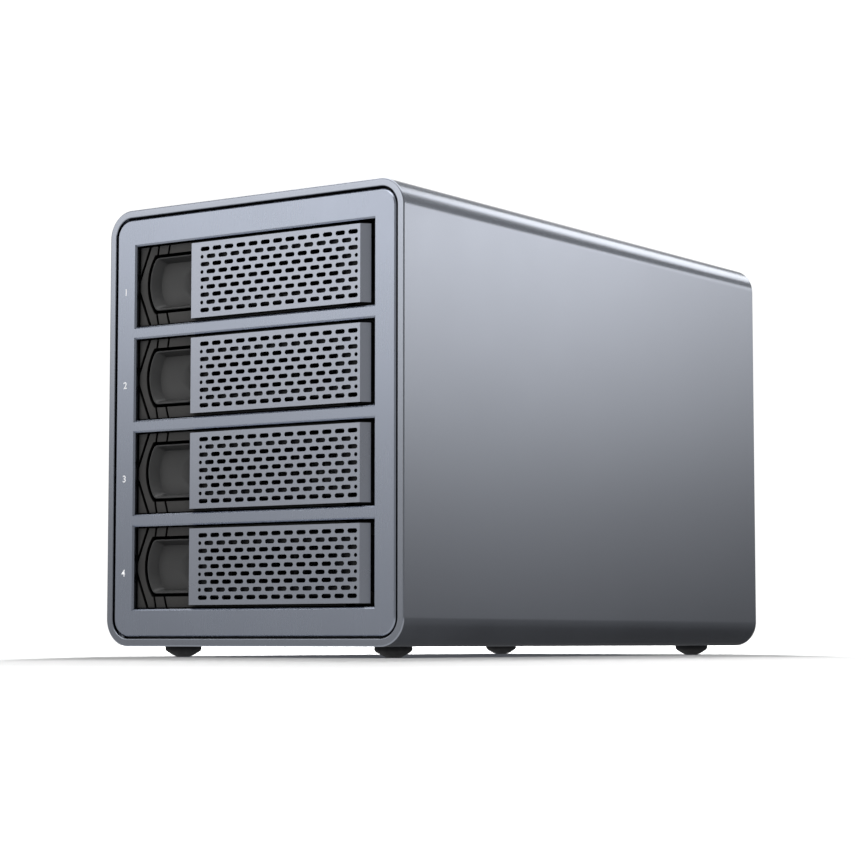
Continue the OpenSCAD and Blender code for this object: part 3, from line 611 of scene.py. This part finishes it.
# ---------------------------------------------------------------- release buttons
def button(i):
    """The button with its thumb dish: a rounded lip, soft slopes and a flat floor."""
    lo, hi = (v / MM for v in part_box(f"release_button_{i}"))
    x_l, x_r = lo.x, hi.x
    zb, zt = lo.z, hi.z
    y0 = lo.y
    zc = BAY_Z[i] + 0.4
    R = 17.2
    cx = x_l + R
    depth = 3.0

    def outline(s_left, s_top, s_bot, y, rho):
        rs = R - s_left
        bot, top = zb + s_bot, zt - s_top
        pts = []
        # lower fillet centre and upper fillet centre
        lz, uz = bot + rho, top - rho
        lx = cx - math.sqrt((rs - rho) ** 2 - (lz - zc) ** 2)
        ux = cx - math.sqrt((rs - rho) ** 2 - (uz - zc) ** 2)
        for k in range(5):
            pts.append((x_r + (lx - x_r) * k / 5, y, bot))
        a1 = math.atan2(lz - zc, lx - cx) % (2 * math.pi)
        for k in range(11):
            a = 1.5 * math.pi + (a1 - 1.5 * math.pi) * k / 10
            pts.append((lx + rho * math.cos(a), y, lz + rho * math.sin(a)))
        a2 = math.atan2(uz - zc, ux - cx)
        for k in range(1, 30):
            a = a1 + (a2 - a1) * k / 30
            pts.append((cx + rs * math.cos(a), y, zc + rs * math.sin(a)))
        for k in range(11):
            a = a2 + (0.5 * math.pi - a2) * k / 10
            pts.append((ux + rho * math.cos(a), y, uz + rho * math.sin(a)))
        for k in range(1, 6):
            pts.append((ux + (x_r - ux) * k / 5, y, top))
        return pts

    b = Builder()
    rings = [b.ring(outline(0, 0, 0, y0 + 6.0, 2.4)), b.ring(outline(0, 0, 0, y0 + 3.0, 2.4))]
    for k in range(6):
        a = math.pi / 2 * k / 5
        m = 0.42 * (1 - math.cos(a))
        rings.append(b.ring(outline(m, m, m, y0 + 0.42 * (1 - math.sin(a)), 2.4)))
    steps = 14
    for k in range(1, steps + 1):
        u = k / steps
        # a short round at the lip, a straight slope, and a crisp edge at the floor
        f = (u * u / 0.25 if u < 0.125 else u - 0.0625) / 0.9375
        rings.append(b.ring(outline(0.42 + 3.0 * u, 0.42 + 1.75 * u, 0.42 + 1.25 * u, y0 + depth * f, 2.4 - 0.5 * u)))
    for p, q in zip(rings, rings[1:]):
        b.bridge(p, q, closed=False)
    b.fan(rings[-1], (cx - 6, y0 + depth, (zb + zt) / 2))
    b.fan(rings[0], (cx - 6, y0 + 6.0, (zb + zt) / 2))
    # right end
    b.f.append(tuple([r[0] for r in rings] + [r[-1] for r in reversed(rings)]))
    # stem behind it
    lathe(b, [(0.0, y0 + 5.5), (1.45, y0 + 5.5), (1.45, hi.y - 0.25), (1.2, hi.y), (0.0, hi.y)], (-38.0, 0, zc), "y", 28)
    return make(f"thumb_button_{i}", b.v, b.f, f"button_{i}", BUTTON, (f"release_button_{i}",))


for i in BAYS:
    button(i)


# ---------------------------------------------------------------- fan rotor and guard
FAN_Z = (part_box("fan_guard")[0].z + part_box("fan_guard")[1].z) / 2 / MM


def rotor():
    lo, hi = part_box("fan_rotor")
    y0, y1 = YR - 4 - 21, YR - 4 - 7
    b = Builder()
    # hub: a cup with a rounded front edge, open to the rear
    prof = [(0.0, y0)] + [(17.2, y0)]
    for k in range(6):
        a = math.pi / 2 * (1 - k / 5)
        prof.append((17.2 + 1.8 * math.cos(a), y0 + 1.8 * (1 - math.sin(a))))
    prof += [(19.0, y1 - 0.3), (18.7, y1), (16.8, y1), (16.5, y1 - 0.3), (16.5, y0 + 2.3), (16.2, y0 + 2.0), (1.5, y0 + 2.0),
             (1.5, YR - 8.4), (1.2, YR - 8.0), (0.0, YR - 8.0)]
    lathe(b, prof, (0, 0, FAN_Z), "y", 72)
    # seven curved blades
    nr, nc = 14, 8
    for j in range(7):
        rows_f, rows_b = [], []
        for a_ in range(nr + 1):
            t = a_ / nr
            r = 18.6 + (42.9 - 18.6) * t
            sweep = math.radians(j * 360 / 7 + 16 * t * t + 4 * t)
            span = math.radians(40 - 7 * t)              # angular chord
            pitch_drop = 5.9 - 0.7 * t                    # half the chord along y
            thick = 0.75 - 0.35 * t
            f_row, b_row = [], []
            for c_ in range(nc + 1):
                s = c_ / nc * 2 - 1
                ang = sweep + span / 2 * s
                camber = 1.5 * (1 - s * s)
                y = (y0 + y1) / 2 + pitch_drop * s + camber * 0.5 - 0.4
                th = thick * math.sqrt(max(0.02, 1 - abs(s) ** 3))
                f_row.append((r * math.cos(ang), y - th, FAN_Z + r * math.sin(ang)))
                b_row.append((r * math.cos(ang), y + th, FAN_Z + r * math.sin(ang)))
            rows_f.append(b.ring(f_row))
            rows_b.append(b.ring(b_row))
        for p, q in zip(rows_f, rows_f[1:]):
            b.bridge(p, q, closed=False)
        for p, q in zip(rows_b, rows_b[1:]):
            b.bridge(q, p, closed=False)
        b.bridge(rows_f[0], rows_b[0], closed=False)
        b.bridge(rows_b[-1], rows_f[-1], closed=False)
        lead_f, lead_b = [r_[0] for r_ in rows_f], [r_[0] for r_ in rows_b]
        tail_f, tail_b = [r_[-1] for r_ in rows_f], [r_[-1] for r_ in rows_b]
        b.bridge(lead_b, lead_f, closed=False)
        b.bridge(tail_f, tail_b, closed=False)
    return make("fan_blades", b.v, b.f, "fan_rotor", FAN, ("fan_rotor",))


def guard():
    b = Builder()
    yg = YR - 2.5
    wire = 0.72
    for r in (8, 15, 22, 29, 36, 43):
        tube(b, [(r * math.cos(2 * math.pi * k / 72), yg + 0.70, FAN_Z + r * math.sin(2 * math.pi * k / 72)) for k in range(72)],
             wire * (1.15 if r == 43 else 1.0) * 0.92, 10, closed=True)
    for a in (45, 135, 225, 315):
        c, s = math.cos(math.radians(a)), math.sin(math.radians(a))
        pts = [(r * c, yg + (0.62 if r < 50 else 0.72), FAN_Z + r * s) for r in (7.6, 20, 35, 46, 55.4)]
        tube(b, pts, 0.60, 10)
        ex, ez = 41.25 * (1 if c > 0 else -1), 41.25 * (1 if s > 0 else -1)
        tube(b, [(ex + 3.1 * math.cos(2 * math.pi * k / 32), yg + 0.70, FAN_Z + ez + 3.1 * math.sin(2 * math.pi * k / 32))
                 for k in range(32)], 0.68, 10, closed=True)
    return make("guard_rings", b.v, b.f, "chassis", WIRE, ("fan_guard",))


rotor()
guard()


# ---------------------------------------------------------------- bay numbers
def digit(i):
    lo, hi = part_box("light_pipes")
    cx = (lo.x + hi.x) / 2 / MM
    cz = BAY_Z[i] - 1.8
    cu = bpy.data.curves.new(f"bay_{i}", "FONT")
    cu.body = str(i)
    cu.size = 3.5 * MM
    cu.offset = 0.05 * MM
    cu.extrude = 0.03 * MM
    cu.resolution_u = 6
    cu.align_x = "CENTER"
    tmp = bpy.data.objects.new(f"bay_text_{i}", cu)
    scene.collection.objects.link(tmp)
    bpy.context.view_layer.update()
    me = bpy.data.meshes.new_from_object(tmp.evaluated_get(bpy.context.evaluated_depsgraph_get()))
    bpy.data.objects.remove(tmp)
    zs = [v.co.y for v in me.vertices]
    xs = [v.co.x for v in me.vertices]
    me.transform(Matrix.Translation((-(min(xs) + max(xs)) / 2, -(min(zs) + max(zs)) / 2, 0)))
    me.transform(Matrix.Rotation(math.radians(90), 4, "X"))
    me.transform(Matrix.Translation((cx * MM, (YF - 0.02) * MM, cz * MM)))
    me.name = f"bay_number_{i}"
    me.materials.clear()
    me.materials.append(DIGIT)
    o = bpy.data.objects.new(f"bay_number_{i}", me)
    scene.collection.objects.link(o)
    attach(o, "chassis")
    return o


for i in BAYS:
    digit(i)


# ---------------------------------------------------------------- stage, cards and lights
def lin(t, a, b, c):
    """a * b + c"""
    return t.add("ShaderNodeMath", p_operation="MULTIPLY_ADD", i0=a, i1=b, i2=c).outputs[0]


def curve(t, value, full, stops, lo=0.0):
    """Straight lines between (value, result) stops, from lo to full."""
    n = t.add("ShaderNodeFloatCurve")
    top = max(max(v for _, v in stops), 0.001)
    c = n.mapping.curves[0]
    while len(c.points) < len(stops):
        c.points.new(0.5, 0.5)
    for p, (x, y) in zip(c.points, stops):
        p.location = ((x - lo) / (full - lo), y / top)
        p.handle_type = "VECTOR"
    n.mapping.update()
    u = t.add("ShaderNodeMapRange", Value=value)
    u.inputs["From Min"].default_value = lo
    u.inputs["From Max"].default_value = full
    t.link(u.outputs["Result"], n.inputs["Value"])
    return t.add("ShaderNodeMath", p_operation="MULTIPLY", i0=n.outputs[0], i1=top).outputs[0]


def floor():
    me = bpy.data.meshes.new("floor")
    n, rad = 96, 6.0
    vs = [(0, 0, 0)]
    fs = []
    radii = (0.4, 0.8, 1.4, 2.4, 4.0, rad)
    for r in radii:
        vs += [(r * math.cos(2 * math.pi * k / n), r * math.sin(2 * math.pi * k / n), 0) for k in range(n)]
    for k in range(n):
        fs.append((0, 1 + k, 1 + (k + 1) % n))
        for j in range(len(radii) - 1):
            a, c = 1 + j * n, 1 + (j + 1) * n
            fs.append((a + k, c + k, c + (k + 1) % n, a + (k + 1) % n))
    me.from_pydata(vs, [], fs)
    m = bpy.data.materials.new("floor_white")
    m.use_nodes = True
    t = Tree(m.node_tree)
    out = t.add("ShaderNodeOutputMaterial")
    obj = t.add("ShaderNodeTexCoord").outputs["Object"]
    flat = t.add("ShaderNodeVectorMath", p_operation="ABSOLUTE", i0=obj).outputs[0]
    out_by = t.add("ShaderNodeVectorMath", p_operation="SUBTRACT", i0=flat)
    out_by.inputs[1].default_value = (HALF_W * MM, YR * MM, 0.0)
    out_by = t.add("ShaderNodeVectorMath", p_operation="MAXIMUM", i0=out_by.outputs[0]).outputs[0]
    away = t.add("ShaderNodeVectorMath", p_operation="LENGTH", i0=out_by).outputs["Value"]
    # plain white, lifted far away where the studio's light falls off
    glow = curve(t, away, 3.0, [(0.0, 0.0), (0.22, 0.0), (0.40, 0.20), (0.8, 0.50), (1.5, 0.7), (3.0, 0.9)])
    d = t.add("ShaderNodeBsdfDiffuse", Color=(0.45, 0.45, 0.45, 1))
    e = t.add("ShaderNodeEmission", Color=(1, 1, 1, 1), Strength=glow)
    s = t.add("ShaderNodeAddShader", i0=d.outputs[0], i1=e.outputs[0])
    t.link(s.outputs[0], out.inputs["Surface"])
    me.materials.append(m)
    o = bpy.data.objects.new("floor", me)
    scene.collection.objects.link(o)
    o.visible_glossy = False
    o.visible_transmission = False
    o.visible_diffuse = False


def card(name, base, toward, width, z0, z1, stops, side=None, diffuse=True):
    """An upright light card. stops are (height in m, radiance); side is ((u, factor), ...) across it, u from 0 to 1."""
    m = bpy.data.materials.new(name)
    m.use_nodes = True
    t = Tree(m.node_tree)
    out = t.add("ShaderNodeOutputMaterial")
    obj = t.add("ShaderNodeTexCoord").outputs["Object"]
    sep = t.add("ShaderNodeSeparateXYZ", i0=obj)
    power = curve(t, sep.outputs["Z"], z1, stops, z0)
    if side:
        across = curve(t, sep.outputs["X"], width / 2, [((u - 0.5) * width, v) for u, v in side], -width / 2)
        power = t.add("ShaderNodeMath", p_operation="MULTIPLY", i0=power, i1=across).outputs[0]
    e = t.add("ShaderNodeEmission", Color=(1, 1, 1, 1), Strength=power)
    back = t.add("ShaderNodeNewGeometry").outputs["Backfacing"]
    dark = t.add("ShaderNodeBsdfTransparent")
    mix = t.add("ShaderNodeMixShader", i0=back, i1=e.outputs[0], i2=dark.outputs[0])
    t.link(mix.outputs[0], out.inputs["Surface"])
    me = bpy.data.meshes.new(name)
    hw = width / 2
    me.from_pydata([(-hw, 0, z0), (hw, 0, z0), (hw, 0, z1), (-hw, 0, z1)], [], [(0, 1, 2, 3)])
    me.materials.append(m)
    o = bpy.data.objects.new(name, me)
    scene.collection.objects.link(o)
    d = Vector((toward[0] - base[0], toward[1] - base[1], 0)).normalized()
    # local -Y faces the object
    o.rotation_euler = (0, 0, math.atan2(d.x, -d.y))
    o.location = (base[0], base[1], 0)
    o.visible_camera = False
    o.visible_shadow = False
    o.visible_diffuse = diffuse
    return o


def area(name, loc, target, sx, sy, radiance, glossy=True, diffuse=True):
    d = bpy.data.lights.new(name, "AREA")
    d.shape = "RECTANGLE"
    d.size, d.size_y = sx, sy
    d.energy = radiance * math.pi * sx * sy
    o = bpy.data.objects.new(name, d)
    scene.collection.objects.link(o)
    o.location = loc
    o.rotation_euler = (Vector(target) - Vector(loc)).to_track_quat("-Z", "Y").to_euler()
    o.visible_camera = False
    o.visible_glossy = glossy
    o.visible_diffuse = diffuse
    return o


def unit(az, el):
    """Direction at az degrees right of +Y, el degrees up."""
    a, e = math.radians(az), math.radians(el)
    return Vector((math.sin(a) * math.cos(e), math.cos(a) * math.cos(e), math.sin(e)))


floor()
side_base = (0.43, 0.60)
card("card_rear_right", side_base, (0.0665, 0.0), 0.62, 0.0, 0.34,
     [(0.0, 0.15), (0.10, 0.40), (0.20, 0.96), (0.27, 1.37), (0.34, 2.1)],
     side=((0.0, 0.45), (0.15, 0.5), (0.33, 0.8), (0.5, 1.05), (0.62, 1.08), (0.78, 0.92), (1.0, 0.85)))
card("card_rear_left", (-0.52, 0.62), (-0.03, 0.0), 0.75, 0.02, 0.62,
     [(0.02, 0.08), (0.12, 0.30), (0.22, 0.58), (0.62, 0.72)])
card("card_front_left", (-0.44, -0.70), (0.0, -0.129), 0.62, 0.0, 0.40,
     [(0.0, 0.39), (0.12, 0.62), (0.25, 1.50), (0.40, 2.25)], side=((0.0, 1.0), (1.0, 0.65)))
card("card_front_right", (0.80, -0.42), (0.0665, 0.0), 0.50, 0.0, 0.40,
     [(0.0, 0.2), (0.2, 0.42), (0.40, 0.5)])
strip_at = Vector((0.0665, 0.0, 0.16)) + 1.8 * unit(3.5, 31.5)
area("strip_rear", strip_at, (0.0665, 0, 0.16), 0.62, 0.50, 1.85)
area("top_soft", (0.0, 0.15, 1.55), (0.0, 0.0, 0.0), 2.2, 2.0, 2.3)
area("rear_fill", (0.15, 1.7, 0.9), (0.0, 0.1, 0.08), 1.2, 1.2, 1.6, glossy=False)
area("shadow_key", (-0.567 * 1.13, 0.824 * 1.13, 1.13), (0.06, -0.09, 0.0), 0.10, 1.1, 205.0, glossy=False)
area("left_high", (-1.35, 0.0, 1.15), (0.0, 0.0, 0.08), 1.0, 1.0, 0.9)

world = bpy.data.worlds.new("studio")
scene.world = world
world.use_nodes = True
t = Tree(world.node_tree)
out = t.add("ShaderNodeOutputWorld")
gen = t.add("ShaderNodeTexCoord").outputs["Generated"]
up = t.add("ShaderNodeSeparateXYZ", i0=gen).outputs["Z"]
dim = curve(t, up, 1.0, [(-1.0, 0.05), (-0.35, 0.05), (-0.04, 0.125), (0.05, 0.15), (0.35, 0.30), (1.0, 0.32)], -1.0)
sky = t.add("ShaderNodeSeparateXYZ", i0=gen)
left = ranged(t, sky.outputs["X"], 1.0, 0.0, -0.80, -0.66)
fore = ranged(t, sky.outputs["Y"], 1.0, 0.0, 0.66, 0.78)
open_side = t.add("ShaderNodeMath", p_operation="MAXIMUM", i0=left, i1=fore).outputs[0]
under = t.add("ShaderNodeMath", p_operation="MULTIPLY", i0=open_side, i1=ranged(t, up, 1.0, 0.0, -0.16, 0.0)).outputs[0]
shine = t.add("ShaderNodeMath", p_operation="MULTIPLY", i0=under,
              i1=t.add("ShaderNodeLightPath").outputs["Is Glossy Ray"]).outputs[0]
lift = t.add("ShaderNodeMath", p_operation="MULTIPLY_ADD", i0=shine, i1=0.55, i2=dim).outputs[0]
soft = t.add("ShaderNodeBackground", Color=(0.98, 0.99, 1.0, 1), Strength=lift)
white = t.add("ShaderNodeBackground", Color=(1, 1, 1, 1), Strength=1.05)
eye = t.add("ShaderNodeLightPath").outputs["Is Camera Ray"]
mx = t.add("ShaderNodeMixShader", i0=eye, i1=soft.outputs[0], i2=white.outputs[0])
t.link(mx.outputs[0], out.inputs["Surface"])
